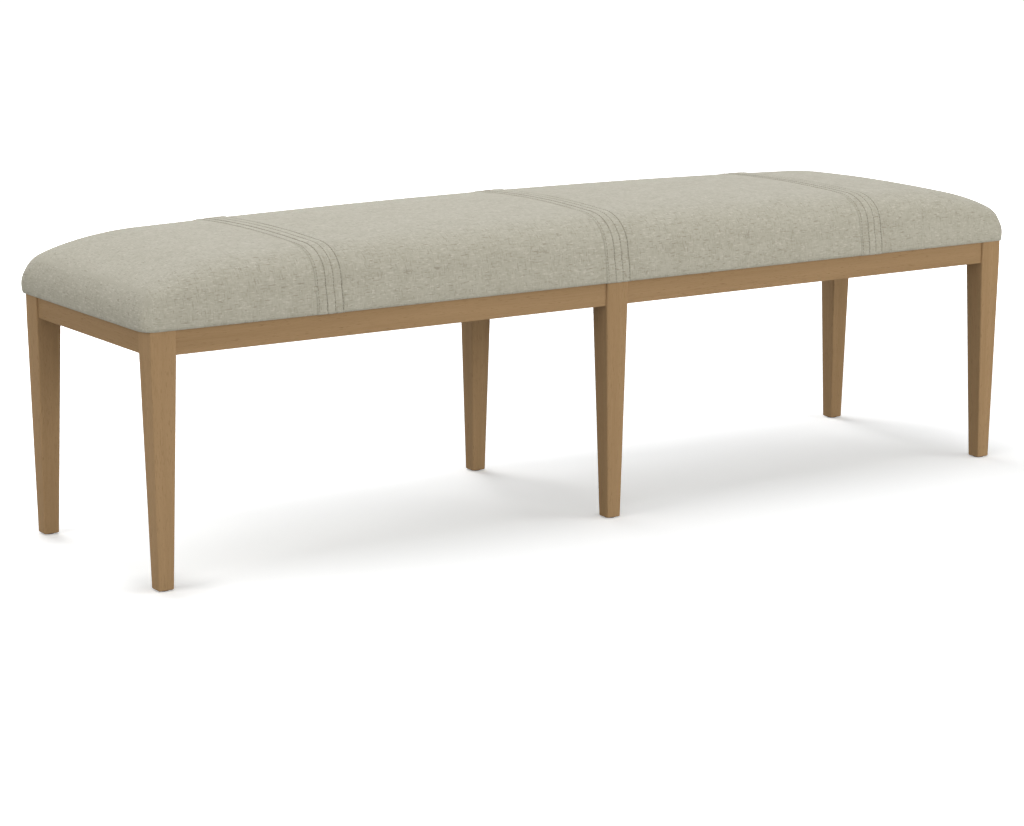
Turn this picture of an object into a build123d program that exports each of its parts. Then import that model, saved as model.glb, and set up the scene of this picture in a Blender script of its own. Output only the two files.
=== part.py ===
from build123d import *
import math
import os

# Bench frame, millimetres, origin on the floor under the middle of the bench, front at -Y
frame_length = 1516.0
frame_depth = 405.0
frame_height = 358.0

# Legs
leg_width = 38.0
taper_outer = 5.0
taper_inner = 10.0
leg_arris = 2.5
foot_arris = 1.8
foot_chamfer = 1.2

# Rails
rail_height = 34.5
rail_thickness = 22.0
rail_setback = 3.0
rail_edge = 1.0
cross_rail_drop = 1.0

# Corner blocks
block_height = 26.0
block_drop = 4.0
block_span = 62.0
block_notch = 1.0

# Dowels, screws, staples and glides
pin_sides = 10
dowel_diameter = 8.0
dowel_length = 32.0
dowel_chamfer = 1.0
dowel_pitch = 15.5
fit_gap = 0.1
screw_diameter = 4.0
screw_head_diameter = 8.0
screw_head_height = 2.4
screw_tip = 5.0
block_screw_length = 29.0
block_screw_bite = 15.0
block_screw_offset = 30.0
seat_screw_length = 38.0
seat_screw_bite = 11.0
seat_screw_offset = 18.0
cross_screw_reach = 96.0
counterbore_gap = 0.6
glide_diameter = 17.0
glide_thickness = 1.5
glide_edge = 0.5
glide_nail_diameter = 2.0
glide_nail_length = 12.0
staple_crown = 10.0
staple_wire = 0.9
staple_leg = 8.0
staple_pitch = 150.0

# Seat
panel_thickness = 15.0
dust_thickness = 0.5
cover_thickness = 1.6
wrap_thickness = 3.0
layer_gap = 0.3
cushion_overhang = 3.5
cushion_height = 101.0
cushion_corner = 18.0
side_wall = 37.0
side_lean = 4.5
side_roll = 69.0
side_fullness = 2.28
side_crown = 4.3
end_wall = 49.0
end_lean = 5.8
end_roll = 184.0
end_fullness = 1.85
end_crown = 11.0
end_lift = 6.0
crown_edge = 605.0

# Seam bands
band_spacing = 485.0
stitch_pitch = 12.4
stitch_rows = 4
stitch_groove = 2.0
band_valley = 0.7
band_puff = 1.7

# Sizes that follow from the ones above
half_length = frame_length / 2
half_depth = frame_depth / 2
rail_bottom = frame_height - rail_height
rail_mid = frame_height - rail_height / 2
rail_line = rail_setback + rail_thickness / 2
rail_inner = rail_setback + rail_thickness
foot_width = leg_width - taper_outer - taper_inner
foot_shift = (taper_inner - taper_outer) / 2
cushion_half_length = half_length + cushion_overhang
cushion_half_depth = half_depth + cushion_overhang
panel_bottom = frame_height + cover_thickness
panel_top = panel_bottom + panel_thickness
foam_inset = cover_thickness + wrap_thickness + 2 * layer_gap
panel_rise = panel_top - frame_height
panel_half_length = cushion_half_length - end_lean * panel_rise / end_wall - foam_inset
crown_radius = crown_edge ** 2 / (2 * end_crown)
end_drop = end_crown * (cushion_half_length / crown_edge) ** 2
panel_half_depth = cushion_half_depth - side_lean * (panel_rise + end_drop) / side_wall - foam_inset
dust_line = leg_width + 3.0
hem_line = dust_line + 11.0
staple_line = (dust_line + hem_line) / 2
block_bottom = frame_height - block_drop - block_height
block_reach = leg_width + block_span
screw_seat = panel_bottom + seat_screw_bite - seat_screw_length
counterbore = screw_head_diameter + 2 * counterbore_gap
band_half = stitch_pitch * (stitch_rows - 1) / 2
band_places = {"left": -band_spacing, "middle": 0.0, "right": band_spacing}
CORNERS = {
    "front_left": (-1, -1),
    "front_right": (1, -1),
    "back_left": (-1, 1),
    "back_right": (1, 1),
}

os.makedirs("parts", exist_ok=True)


def save(name, shape):
    """Write one node."""
    export_step(shape, "parts/" + name + ".step")


def group(solids):
    """Keep equal pieces together as separate solids."""
    return Compound(children=list(solids))


def pin(start, direction, stations):
    """A bar with pin_sides sides; each station is a distance from the start and a diameter there."""
    plane = Plane(origin=start, z_dir=direction)
    rings = [plane * Pos(0, 0, reach) * RegularPolygon(width / 2, pin_sides) for reach, width in stations]
    return loft(rings, ruled=True)


def pin_hole(start, direction, length, diameter):
    """The hole that a pin of a diameter sits in with a gap all round."""
    width = diameter + 2 * fit_gap
    return pin(start, direction, [(0, width), (length, width)])


def block(x0, x1, y0, y1, z0, z1):
    """A square-edged box between two corners."""
    middle = ((x0 + x1) / 2, (y0 + y1) / 2, (z0 + z1) / 2)
    return Pos(*middle) * Box(x1 - x0, y1 - y0, z1 - z0)


# Dowels: joint points on the leg faces, with the direction of the dowel
dowel_heights = (rail_mid - dowel_pitch / 2, rail_mid + dowel_pitch / 2)
long_joints = []
end_joints = []
cross_joints = []
for side in (-1, 1):
    for height in dowel_heights:
        rail_y = side * (half_depth - rail_line)
        for joint_x in (half_length - leg_width, leg_width / 2):
            long_joints.append(((joint_x, rail_y, height), (1, 0, 0)))
            long_joints.append(((-joint_x, rail_y, height), (1, 0, 0)))
        rail_x = side * (half_length - rail_line)
        for joint_y in (half_depth - leg_width, leg_width - half_depth):
            end_joints.append(((rail_x, joint_y, height), (0, 1, 0)))
        cross_joints.append(((0, side * (half_depth - leg_width), height - cross_rail_drop / 2), (0, 1, 0)))
all_joints = long_joints + end_joints + cross_joints


def dowel(joint):
    """A fluted beech dowel with eased ends, half in the rail and half in the leg."""
    centre, direction = joint
    start = Vector(*centre) - Vector(*direction) * (dowel_length / 2)
    eased = dowel_diameter - 2 * dowel_chamfer
    stations = [(0, eased), (dowel_chamfer, dowel_diameter)]
    stations += [(dowel_length - dowel_chamfer, dowel_diameter), (dowel_length, eased)]
    return pin(start, direction, stations)


def dowel_holes(x0, x1, y0, y1):
    """Holes for the joints that touch the given plan area."""
    holes = []
    for centre, direction in all_joints:
        inside_x = x0 - fit_gap <= centre[0] <= x1 + fit_gap
        inside_y = y0 - fit_gap <= centre[1] <= y1 + fit_gap
        if inside_x and inside_y:
            reach = dowel_length / 2 + 4 * fit_gap
            start = Vector(*centre) - Vector(*direction) * reach
            holes.append(pin_hole(start, direction, 2 * reach, dowel_diameter))
    return holes


def screw(seat, direction, length):
    """A pan-head wood screw; the seat point is under the head."""
    crown = (-screw_head_height, screw_head_diameter * 0.6)
    rim = (-screw_head_height * 0.4, screw_head_diameter)
    head = pin(seat, direction, [crown, rim, (0, screw_head_diameter)])
    neck = (length - screw_tip, screw_diameter)
    tip = (length, screw_diameter * 0.1)
    return head + pin(seat, direction, [(0, screw_diameter), neck, tip])


def screw_hole(seat, direction, length, relief):
    """The hole that a screw sits in: shank, then a counterbore behind its head."""
    shank = pin_hole(seat, direction, length + 4 * fit_gap, screw_diameter)
    bore_start = Vector(*seat) - Vector(*direction) * relief
    return [shank, pin(bore_start, direction, [(0, counterbore), (relief, counterbore)])]


# Screws: seats and directions
block_mid = block_bottom + block_height / 2
block_screw_seats = []
seat_screw_seats = []
for sx, sy in CORNERS.values():
    far = leg_width + block_screw_offset
    near = rail_inner + block_screw_length - block_screw_bite
    seat_a = (sx * (half_length - far), sy * (half_depth - near), block_mid)
    seat_b = (sx * (half_length - near), sy * (half_depth - far), block_mid)
    block_screw_seats.append((seat_a, (0, sy, 0)))
    block_screw_seats.append((seat_b, (sx, 0, 0)))
    inset = leg_width + seat_screw_offset
    seat_point = (sx * (half_length - inset), sy * (half_depth - inset), screw_seat)
    seat_screw_seats.append((seat_point, (0, 0, 1)))
for sy in (-1, 1):
    seat_screw_seats.append(((0, sy * cross_screw_reach, screw_seat), (0, 0, 1)))


def block_screw_holes(x0, x1, y0, y1):
    """Holes of the block screws that reach into the given plan area."""
    holes = []
    for seat, direction in block_screw_seats:
        tip = Vector(*seat) + Vector(*direction) * block_screw_length
        if x0 <= tip.X <= x1 and y0 <= tip.Y <= y1:
            holes += screw_hole(seat, direction, block_screw_length, block_span)
    return holes


# Legs, with a nail-on glide under each foot
leg_places = dict(CORNERS)
leg_places["front_middle"] = (0, -1)
leg_places["back_middle"] = (0, 1)
glides = []
for name, (sx, sy) in leg_places.items():
    top_x = sx * (half_length - leg_width / 2)
    top_y = sy * (half_depth - leg_width / 2)
    foot_x = top_x + sx * foot_shift
    foot_y = top_y + sy * foot_shift
    sole_width = foot_width - 2 * foot_chamfer
    sole = Pos(foot_x, foot_y, glide_thickness) * RectangleRounded(sole_width, sole_width, foot_arris / 2)
    foot_rise = glide_thickness + foot_chamfer
    foot = Pos(foot_x, foot_y, foot_rise) * RectangleRounded(foot_width, foot_width, foot_arris)
    top = Pos(top_x, top_y, rail_bottom) * RectangleRounded(leg_width, leg_width, leg_arris)
    leg = loft([sole, foot, top], ruled=True) + extrude(top, rail_height)
    half = leg_width / 2
    holes = dowel_holes(top_x - half, top_x + half, top_y - half, top_y + half)
    nail_reach = glide_thickness + glide_nail_length + fit_gap
    holes.append(pin_hole((foot_x, foot_y, 0), (0, 0, 1), nail_reach, glide_nail_diameter))
    save("leg_" + name, leg - holes)
    disc = extrude(Pos(foot_x, foot_y, 0) * Circle(glide_diameter / 2), glide_thickness)
    disc = chamfer(disc.edges().group_by(Axis.Z)[0], glide_edge)
    nail_run = [(0, glide_nail_diameter), (glide_nail_length, glide_nail_diameter)]
    nail = pin((foot_x, foot_y, glide_thickness), (0, 0, 1), nail_run)
    glides.append(disc + nail)
save("leg_glides", group(glides))

# Long rails, in two lengths on each side, meeting the middle legs
rail_ends = {"left": -1, "right": 1}
for side_name, sy in {"front": -1, "back": 1}.items():
    for end_name, sx in rail_ends.items():
        near_x = leg_width / 2
        far_x = half_length - leg_width
        start_x = -far_x if sx < 0 else near_x
        centre_y = sy * (half_depth - rail_line)
        plane = Plane(origin=(start_x, centre_y, rail_mid), x_dir=(0, 1, 0), z_dir=(1, 0, 0))
        rail = extrude(plane * RectangleRounded(rail_thickness, rail_height, rail_edge), far_x - near_x)
        y0 = centre_y - rail_thickness / 2
        y1 = centre_y + rail_thickness / 2
        holes = dowel_holes(start_x, start_x + far_x - near_x, y0, y1)
        holes += block_screw_holes(start_x, start_x + far_x - near_x, y0, y1)
        save("rail_" + side_name + "_" + end_name, rail - holes)

# End rails
for end_name, sx in rail_ends.items():
    reach = half_depth - leg_width
    centre_x = sx * (half_length - rail_line)
    plane = Plane(origin=(centre_x, -reach, rail_mid), x_dir=(1, 0, 0), z_dir=(0, 1, 0))
    rail = extrude(plane * RectangleRounded(rail_thickness, rail_height, rail_edge), 2 * reach)
    x0 = centre_x - rail_thickness / 2
    x1 = centre_x + rail_thickness / 2
    holes = dowel_holes(x0, x1, -reach, reach)
    holes += block_screw_holes(x0, x1, -reach, reach)
    save("rail_end_" + end_name, rail - holes)

# Cross rail between the middle legs
reach = half_depth - leg_width
cross_height = rail_height - cross_rail_drop
cross_mid = rail_bottom + cross_height / 2
plane = Plane(origin=(0, -reach, cross_mid), x_dir=(1, 0, 0), z_dir=(0, 1, 0))
cross_rail = extrude(plane * RectangleRounded(rail_thickness, cross_height, rail_edge), 2 * reach)
holes = dowel_holes(-rail_thickness / 2, rail_thickness / 2, -reach, reach)
for seat, direction in seat_screw_seats[len(CORNERS):]:
    holes += screw_hole(seat, direction, seat_screw_length, block_span)
save("cross_rail", cross_rail - holes)

# Corner blocks, notched round the inner corner of the leg
notch = leg_width + block_notch
for index, (name, (sx, sy)) in enumerate(CORNERS.items()):
    plan = [
        (notch, rail_inner),
        (block_reach, rail_inner),
        (rail_inner, block_reach),
        (rail_inner, notch),
        (notch, notch),
    ]
    points = [(sx * (half_length - u), sy * (half_depth - v)) for u, v in plan]
    face = Pos(0, 0, block_bottom) * make_face(Polyline(*points, close=True))
    body = extrude(face, block_height, dir=(0, 0, 1))
    holes = screw_hole(*seat_screw_seats[index], seat_screw_length, block_span)
    for seat, direction in block_screw_seats[2 * index:2 * index + 2]:
        holes += screw_hole(seat, direction, block_screw_length, block_span)
    save("corner_block_" + name, body - holes)

# Fasteners of the frame
save("dowels_long_rails", group(dowel(joint) for joint in long_joints))
save("dowels_end_rails", group(dowel(joint) for joint in end_joints))
save("dowels_cross_rail", group(dowel(joint) for joint in cross_joints))
save("block_screws", group(screw(*place, block_screw_length) for place in block_screw_seats))
save("seat_screws", group(screw(*place, seat_screw_length) for place in seat_screw_seats))


# Seat: one cushion form, drawn smaller or larger, gives every layer
def rolled(half, wall, lean, width, fullness, rise, angle):
    """Point on a half profile's roll: 0 degrees on top of the wall, 90 at the end of the roll."""
    turn = math.radians(angle)
    inward = 1 - max(math.cos(turn), 0.0) ** (2 / fullness)
    upward = max(math.sin(turn), 0.0) ** (2 / fullness)
    return half - lean - width * inward, wall + rise * upward


def across_face(inset):
    """Outline across the seat: leaning walls, rolls and crown, run on below the base."""
    full = cushion_height - inset
    half = cushion_half_depth - inset
    rise = full - side_wall - side_crown
    low = -2 * end_drop
    low_half = half - low * side_lean / side_wall

    def at(angle, side):
        y, z = rolled(half, side_wall, side_lean, side_roll, side_fullness, rise, angle)
        return (side * y, frame_height + z)

    edges = [Line((-low_half, frame_height + low), (low_half, frame_height + low))]
    edges.append(Line((low_half, frame_height + low), at(0, 1)))
    edges.append(ThreePointArc(at(0, 1), at(20, 1), at(42, 1)))
    edges.append(ThreePointArc(at(42, 1), at(62, 1), at(90, 1)))
    edges.append(ThreePointArc(at(90, 1), (0, frame_height + full), at(90, -1)))
    edges.append(ThreePointArc(at(90, -1), at(62, -1), at(42, -1)))
    edges.append(ThreePointArc(at(42, -1), at(20, -1), at(0, -1)))
    edges.append(Line(at(0, -1), (-low_half, frame_height + low)))
    return Plane.YZ * make_face(edges)


def along_face(inset, bottom):
    """Outline along the seat: base, leaning end walls and end rolls, open to well above the crown."""
    half = cushion_half_length - inset
    rise = cushion_height - inset - end_wall - end_crown + end_lift
    base = half - end_lean * (bottom - frame_height) / end_wall
    high = frame_height + 2 * cushion_height

    def at(angle, side):
        x, z = rolled(half, end_wall, end_lean, end_roll, end_fullness, rise, angle)
        return (side * x, frame_height + z)

    edges = [Line((-base, bottom), (base, bottom))]
    edges.append(Line((base, bottom), at(0, 1)))
    edges.append(ThreePointArc(at(0, 1), at(20, 1), at(42, 1)))
    edges.append(ThreePointArc(at(42, 1), at(62, 1), at(86, 1)))
    edges.append(Line(at(86, 1), (crown_edge / 2, high)))
    edges.append(Line((crown_edge / 2, high), (-crown_edge / 2, high)))
    edges.append(Line((-crown_edge / 2, high), at(86, -1)))
    edges.append(ThreePointArc(at(86, -1), at(62, -1), at(42, -1)))
    edges.append(ThreePointArc(at(42, -1), at(20, -1), at(0, -1)))
    edges.append(Line(at(0, -1), (-base, bottom)))
    return Plane.XZ * make_face(edges)


def cushion_form(inset, bottom):
    """The seat's shape drawn in by an inset, kept above a bottom plane."""
    axis = Axis((0, 0, frame_height + cushion_height - crown_radius), (0, 1, 0))
    sweep = math.degrees(math.asin(1.05 * cushion_half_length / crown_radius))
    barrel = revolve(across_face(inset).rotate(axis, -sweep), axis, 2 * sweep)
    length = 2 * (cushion_half_length - inset)
    depth = 2 * (cushion_half_depth - inset)
    plan = Pos(0, 0, bottom - 1) * RectangleRounded(length, depth, cushion_corner - inset)
    body = barrel & extrude(along_face(inset, bottom), frame_depth, both=True)
    return body & extrude(plan, 2 * cushion_height)


def staple(x, y, under, along):
    """A wire staple driven up from a face; its crown lies along X or Y."""
    reach = staple_crown / 2
    inner = reach - staple_wire
    outline = Polyline(
        (-reach, -staple_wire),
        (reach, -staple_wire),
        (reach, staple_leg),
        (inner, staple_leg),
        (inner, 0),
        (-inner, 0),
        (-inner, staple_leg),
        (-reach, staple_leg),
        close=True,
    )
    turn = 0 if along == "X" else 90
    bent = extrude(Plane.XZ * make_face(outline), staple_wire / 2, both=True)
    return Pos(x, y, under) * Rot(0, 0, turn) * bent


def staple_holes(x, y, under, along):
    """The two square holes that a staple's legs make."""
    size = staple_wire + 2 * fit_gap
    offset = (staple_crown - staple_wire) / 2
    holes = []
    for side in (-1, 1):
        px = x + side * offset if along == "X" else x
        py = y + side * offset if along == "Y" else y
        height = staple_leg + fit_gap
        holes.append(Pos(px, py, under + height / 2) * Box(size, size, height))
    return holes


def staple_row(line, pitch):
    """Places of staples on a line inside the frame, clear of the legs and the cross rail."""
    places = []
    clear = leg_width + staple_crown
    start = leg_width / 2 + staple_crown
    run = half_length - clear - start
    count = max(int(run // pitch), 1)
    for sy in (-1, 1):
        for step in range(count + 1):
            x = start + run * step / count
            places.append((x, sy * (half_depth - line), "X"))
            places.append((-x, sy * (half_depth - line), "X"))
    run = 2 * (half_depth - clear)
    count = max(int(run // pitch), 1)
    for sx in (-1, 1):
        for step in range(count + 1):
            places.append((sx * (half_length - line), -run / 2 + run * step / count, "Y"))
    return places


# The staples hold the dust cover and the hem to the seat panel together
dust_bottom = frame_height - dust_thickness
staples = [(x, y, dust_bottom, along) for x, y, along in staple_row(staple_line, staple_pitch)]
staple_cuts = []
all_staple_holes = []
for place in staples:
    holes = staple_holes(*place)
    staple_cuts.append((place[0], holes))
    all_staple_holes += holes
screw_cuts = []
for seat, direction in seat_screw_seats:
    screw_cuts.append(pin_hole(seat, direction, seat_screw_length + fit_gap, screw_diameter))

# Seat panel and dust cover
panel_size = (2 * panel_half_length, 2 * panel_half_depth)
panel_face = Pos(0, 0, panel_bottom) * RectangleRounded(*panel_size, cushion_corner)
save("seat_panel", extrude(panel_face, panel_thickness) - (all_staple_holes + screw_cuts))
dust_size = (2 * (half_length - dust_line), 2 * (half_depth - dust_line))
dust_face = Pos(0, 0, dust_bottom) * Rectangle(*dust_size)
save("dust_cover", extrude(dust_face, dust_thickness) - (all_staple_holes + screw_cuts))
save("cover_staples", group(staple(*place) for place in staples))

# Foam and fibre wrap
wrap_outer = cover_thickness + layer_gap
wrap_inner = wrap_outer + wrap_thickness
save("seat_foam", cushion_form(foam_inset, panel_top))
wrap = cushion_form(wrap_outer, panel_bottom + layer_gap) - cushion_form(wrap_inner, frame_height)
save("fibre_wrap", wrap)

# Cover: four fabric panels, hemmed under the seat panel
outer = cushion_form(0.0, frame_height)
shell = outer - cushion_form(cover_thickness, panel_bottom)
hem_x = half_length - hem_line
hem_y = half_depth - hem_line
shell -= block(-hem_x, hem_x, -hem_y, hem_y, frame_height - 1, panel_bottom + 1)
cover_panels = {
    "cover_end_left": (-half_length - end_roll, -band_spacing),
    "cover_middle_left": (-band_spacing, 0.0),
    "cover_middle_right": (0.0, band_spacing),
    "cover_end_right": (band_spacing, half_length + end_roll),
}
for name, (x0, x1) in cover_panels.items():
    high = frame_height + 2 * cushion_height
    piece = shell & block(x0, x1, -frame_depth, frame_depth, frame_height - 1, high)
    cuts = []
    for place_x, holes in staple_cuts:
        if x0 - staple_crown < place_x < x1 + staple_crown:
            cuts += holes
    save(name, piece - cuts)

# Seam bands: raised strips with puffed ribs between the rows of stitches
band_low = frame_height + 2 * layer_gap
band_ground = cushion_form(-layer_gap, frame_height)
band_floor = cushion_form(-band_valley, band_low)
band_rib = cushion_form(-band_puff, band_low)
for name, middle in band_places.items():
    high = frame_height + 2 * cushion_height

    def strip(centre, width):
        """A slab across the seat that cuts one strip out of a form."""
        half = width / 2
        return block(centre - half, centre + half, -frame_depth, frame_depth, frame_height - 1, high)

    band = band_floor & strip(middle, 2 * band_half + stitch_groove)
    for rib in range(stitch_rows - 1):
        centre = middle - band_half + (rib + 0.5) * stitch_pitch
        band += band_rib & strip(centre, stitch_pitch - stitch_groove)
    save("seam_band_" + name, band - band_ground)
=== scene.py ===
import logging
import math
from dataclasses import dataclass, field
from enum import Enum
from typing import Iterable

import bpy
import numpy as np
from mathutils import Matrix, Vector


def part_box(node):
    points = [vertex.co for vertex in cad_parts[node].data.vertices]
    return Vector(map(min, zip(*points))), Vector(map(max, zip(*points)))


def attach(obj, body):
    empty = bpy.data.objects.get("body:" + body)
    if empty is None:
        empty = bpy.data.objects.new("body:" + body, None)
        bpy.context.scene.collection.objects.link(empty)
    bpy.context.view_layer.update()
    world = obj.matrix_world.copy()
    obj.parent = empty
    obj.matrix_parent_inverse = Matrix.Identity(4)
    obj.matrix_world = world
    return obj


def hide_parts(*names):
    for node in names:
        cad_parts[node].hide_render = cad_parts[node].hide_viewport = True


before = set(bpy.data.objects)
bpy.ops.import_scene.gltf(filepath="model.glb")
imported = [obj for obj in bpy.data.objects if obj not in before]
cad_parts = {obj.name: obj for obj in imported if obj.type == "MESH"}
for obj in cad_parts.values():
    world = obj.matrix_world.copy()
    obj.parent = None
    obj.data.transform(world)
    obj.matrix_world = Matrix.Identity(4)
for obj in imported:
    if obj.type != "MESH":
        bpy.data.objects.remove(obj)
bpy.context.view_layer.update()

LOG = logging.getLogger("bench")
BODY = "root"
MM = 0.001
RGB = tuple[float, float, float]


class Lamp(Enum):
    """The soft lamps round the bench: azimuth and elevation in degrees, distance, share of light."""

    LEFT = (-90.0, 18.0, 8.0, 0.360)
    LEFT_HIGH = (-90.0, 55.0, 4.5, 0.020)
    FRONT_LEFT = (-45.0, 25.0, 4.5, 0.12)
    FRONT_LOW = (0.0, 8.0, 4.5, 0.405)
    FRONT_RIGHT_LOW = (45.0, 8.0, 4.5, 0.385)
    BACK = (180.0, 25.0, 4.5, 0.29)
    FRONT_LEFT_HIGH = (-45.0, 55.0, 4.5, 0.016)
    FRONT_RIGHT_HIGH = (45.0, 55.0, 4.5, 0.020)
    RIGHT_HIGH = (90.0, 55.0, 4.5, 0.070)
    BACK_HIGH = (180.0, 55.0, 4.5, 0.35)
    TOP = (0.0, 90.0, 4.5, 0.362)


class GrainAxis(Enum):
    """Way that the grain of a wooden piece runs, and a brightness factor for the pieces with that grain."""

    LENGTHWISE = ("xyz", 0.97)
    CROSSWISE = ("yxz", 0.96)
    UPRIGHT = ("zxy", 1.03)

    @property
    def order(self) -> str:
        """Axis letters with the grain's own first."""
        return self.value[0]

    @property
    def letter(self) -> str:
        """Axis letter of the grain."""
        return self.order[0]

    def shaded(self, colour: RGB) -> RGB:
        """Scale a colour by this grain direction's brightness factor."""
        red, green, blue = (self.value[1] * part for part in colour)
        return red, green, blue


class CoverPanel(Enum):
    """The four panels of the seat cover, by their span along the bench in band steps."""

    END_LEFT = (-2, -1)
    MIDDLE_LEFT = (-1, 0)
    MIDDLE_RIGHT = (0, 1)
    END_RIGHT = (1, 2)

    @property
    def node(self) -> str:
        """Name of the panel's CAD node."""
        return "cover_" + self.name.lower()


class MixKind(Enum):
    """What a mix node mixes: its data type, the first of its two inputs, and its output."""

    COLOUR = ("RGBA", 6, 2)
    VECTOR = ("VECTOR", 4, 1)


# Shader building blocks


class Nodes:
    """Short hand for placing and joining shader nodes in one tree."""

    def __init__(self, tree: bpy.types.NodeTree) -> None:
        """Keep the tree.

        Args:
            tree: node tree of a material, a world or a group.
        """
        self.tree = tree

    def add(self, kind: str, **settings: object) -> bpy.types.Node:
        """Add a node.

        Args:
            kind: node type without its ShaderNode prefix.
            settings: attributes to set on the node.

        Returns:
            The new node.
        """
        node = self.tree.nodes.new("ShaderNode" + kind)
        for name, value in settings.items():
            setattr(node, name, value)
        return node

    def plug(self, socket: bpy.types.NodeSocket, value: object) -> None:
        """Join an output to a socket, or set the socket's own value.

        Args:
            socket: the socket to feed.
            value: an output, or a number, vector or colour.
        """
        if isinstance(value, bpy.types.NodeSocket):
            self.tree.links.new(value, socket)
        elif isinstance(value, tuple) and len(value) == 3 and socket.type == "RGBA":
            socket.default_value = (*value, 1.0)
        else:
            socket.default_value = value

    def operate(self, kind: str, operation: str, values: tuple[object, ...]) -> bpy.types.Node:
        """Add a node that works on values in order.

        Args:
            kind: Math or VectorMath.
            operation: what the node does.
            values: outputs or numbers for its inputs.

        Returns:
            The new node.
        """
        node = self.add(kind, operation=operation)
        for socket, value in zip(node.inputs, values):
            self.plug(socket, value)
        return node

    def math(self, operation: str, *values: object) -> bpy.types.NodeSocket:
        """Place a math node and return its output."""
        return self.operate("Math", operation, values).outputs[0]

    def vector_math(self, operation: str, *values: object) -> bpy.types.NodeSocket:
        """Place a vector math node and return its vector output."""
        return self.operate("VectorMath", operation, values).outputs[0]

    def distance(self, a: object, b: object) -> bpy.types.NodeSocket:
        """Measure between two points and return the distance."""
        return self.operate("VectorMath", "DISTANCE", (a, b)).outputs["Value"]

    def mix(self, share: object, low: object, high: object,
            kind: MixKind = MixKind.COLOUR) -> bpy.types.NodeSocket:
        """Mix two colours or vectors.

        Args:
            share: share of the second one.
            low: the first one.
            high: the second one.
            kind: what is mixed.

        Returns:
            The mixed output.
        """
        data_type, first, output = kind.value
        node = self.add("Mix", data_type=data_type)
        for place, value in ((0, share), (first, low), (first + 1, high)):
            self.plug(node.inputs[place], value)
        return node.outputs[output]

    def reordered(self, vector: object, order: str) -> bpy.types.NodeSocket:
        """Swap the axes of a vector.

        Args:
            vector: the vector.
            order: axis letters in their new order.

        Returns:
            The vector with its axes in that order.
        """
        split = self.add("SeparateXYZ")
        self.plug(split.inputs[0], vector)
        joined = self.add("CombineXYZ")
        for socket, letter in zip(joined.inputs, order):
            self.plug(socket, split.outputs["xyz".index(letter)])
        return joined.outputs[0]

    def group(self, tree: bpy.types.NodeTree, settings: dict[str, object]) -> bpy.types.Node:
        """Place a node group.

        Args:
            tree: the group.
            settings: value or output for each of its inputs.

        Returns:
            The group's node.
        """
        node = self.add("Group", node_tree=tree)
        for title, value in settings.items():
            self.plug(node.inputs[title], value)
        return node

    def bump(self, height: bpy.types.NodeSocket, strength: float, depth: float) -> bpy.types.NodeSocket:
        """Turn a height into a normal.

        Args:
            height: the height, from 0 to 1.
            strength: how much of the bump shows.
            depth: depth of a full height in metres.

        Returns:
            The bumped normal.
        """
        node = self.add("Bump")
        node.inputs["Strength"].default_value = strength
        node.inputs["Distance"].default_value = depth
        self.plug(node.inputs["Height"], height)
        return node.outputs[0]

    def noise(self, vector: object, per_metre: tuple[float, float, float], detail: float = 2.0,
              rough: float = 0.5, warp: float = 0.0) -> bpy.types.NodeSocket:
        """Place stretched noise.

        Args:
            vector: coordinates in metres.
            per_metre: features per metre along each axis.
            detail: octaves of finer noise.
            rough: strength of the finer noise.
            warp: distortion of the pattern.

        Returns:
            The noise value, from 0 to 1.
        """
        node = self.add("TexNoise")
        self.plug(node.inputs["Vector"], self.vector_math("MULTIPLY", vector, per_metre))
        node.inputs["Scale"].default_value = 1.0
        node.inputs["Detail"].default_value = detail
        node.inputs["Roughness"].default_value = rough
        node.inputs["Distortion"].default_value = warp
        return node.outputs[0]

    def span(self, value: object, low: float, high: float, to_low: float = 0.0,
             to_high: float = 1.0) -> bpy.types.NodeSocket:
        """Map a value from one range to another with soft ends.

        Args:
            value: the value.
            low: start of its range.
            high: end of its range.
            to_low: start of the new range.
            to_high: end of the new range.

        Returns:
            The mapped value.
        """
        node = self.add("MapRange", interpolation_type="SMOOTHSTEP")
        for socket, number in zip(node.inputs, (value, low, high, to_low, to_high)):
            self.plug(socket, number)
        return node.outputs[0]


def new_group(name: str, takes: dict[str, str], gives: dict[str, str]) -> tuple[Nodes, dict, bpy.types.Node]:
    """Start a shader node group.

    Args:
        name: name of the group.
        takes: input names and socket types.
        gives: output names and socket types.

    Returns:
        The node helper, the input sockets by name, and the output node.
    """
    tree = bpy.data.node_groups.new(name, "ShaderNodeTree")
    for title, kind in takes.items():
        tree.interface.new_socket(name=title, in_out="INPUT", socket_type="NodeSocket" + kind)
    for title, kind in gives.items():
        tree.interface.new_socket(name=title, in_out="OUTPUT", socket_type="NodeSocket" + kind)
    inlet = tree.nodes.new("NodeGroupInput")
    outlet = tree.nodes.new("NodeGroupOutput")
    return Nodes(tree), {socket.name: socket for socket in inlet.outputs}, outlet


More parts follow.
